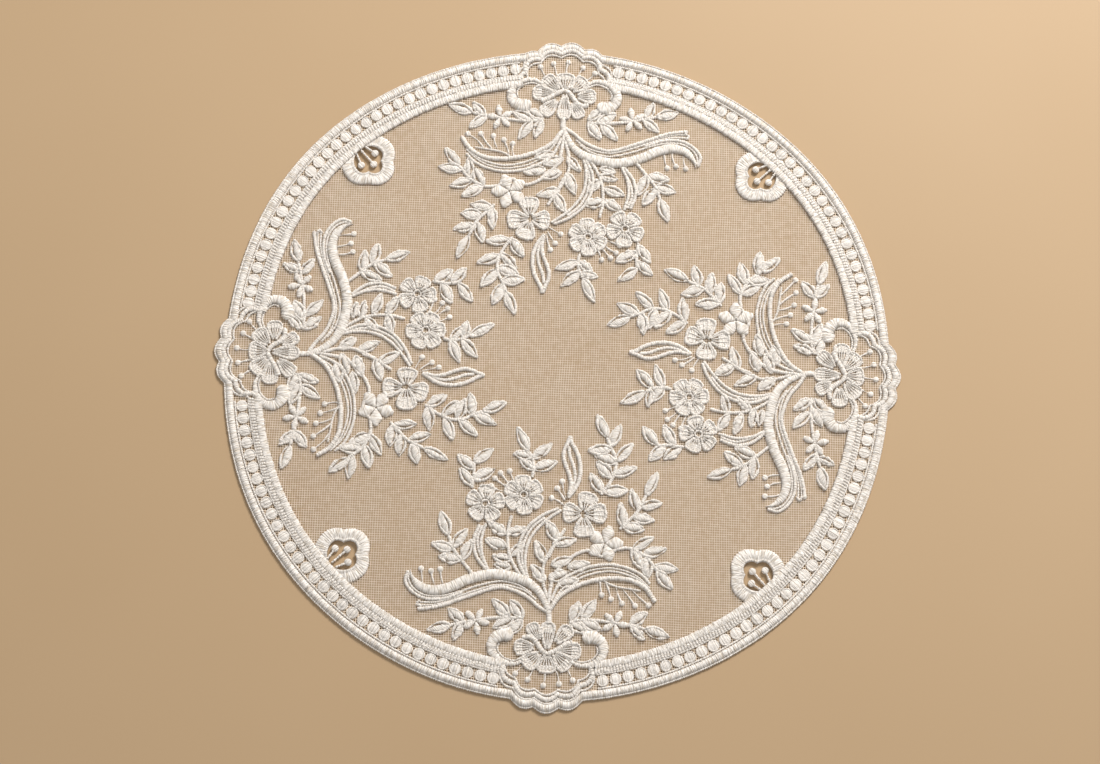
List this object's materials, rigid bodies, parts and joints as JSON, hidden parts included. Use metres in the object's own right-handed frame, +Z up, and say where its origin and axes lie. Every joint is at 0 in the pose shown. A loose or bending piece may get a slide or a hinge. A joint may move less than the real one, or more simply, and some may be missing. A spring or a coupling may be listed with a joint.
{
  "type": "lace doily",
  "caption": "Round white lace doily lying flat: sheer net ground, corded border with scalloped medallions, satin-stitched floral sprays and cutwork blossoms.",
  "frame": {"origin": "centre of the flat underside, on the surface the doily lies on", "axes": "+Z up out of the cloth; +X and +Y each run out through the middle of a scalloped medallion"},
  "size_m": [0.3094, 0.311, 0.0024],
  "materials": {
    "cotton": "off-white satin-stitch embroidery on fine net, soft low sheen"
  },
  "bodies": {
    "root": {"doily": "cotton"}
  },
  "joints": []
}
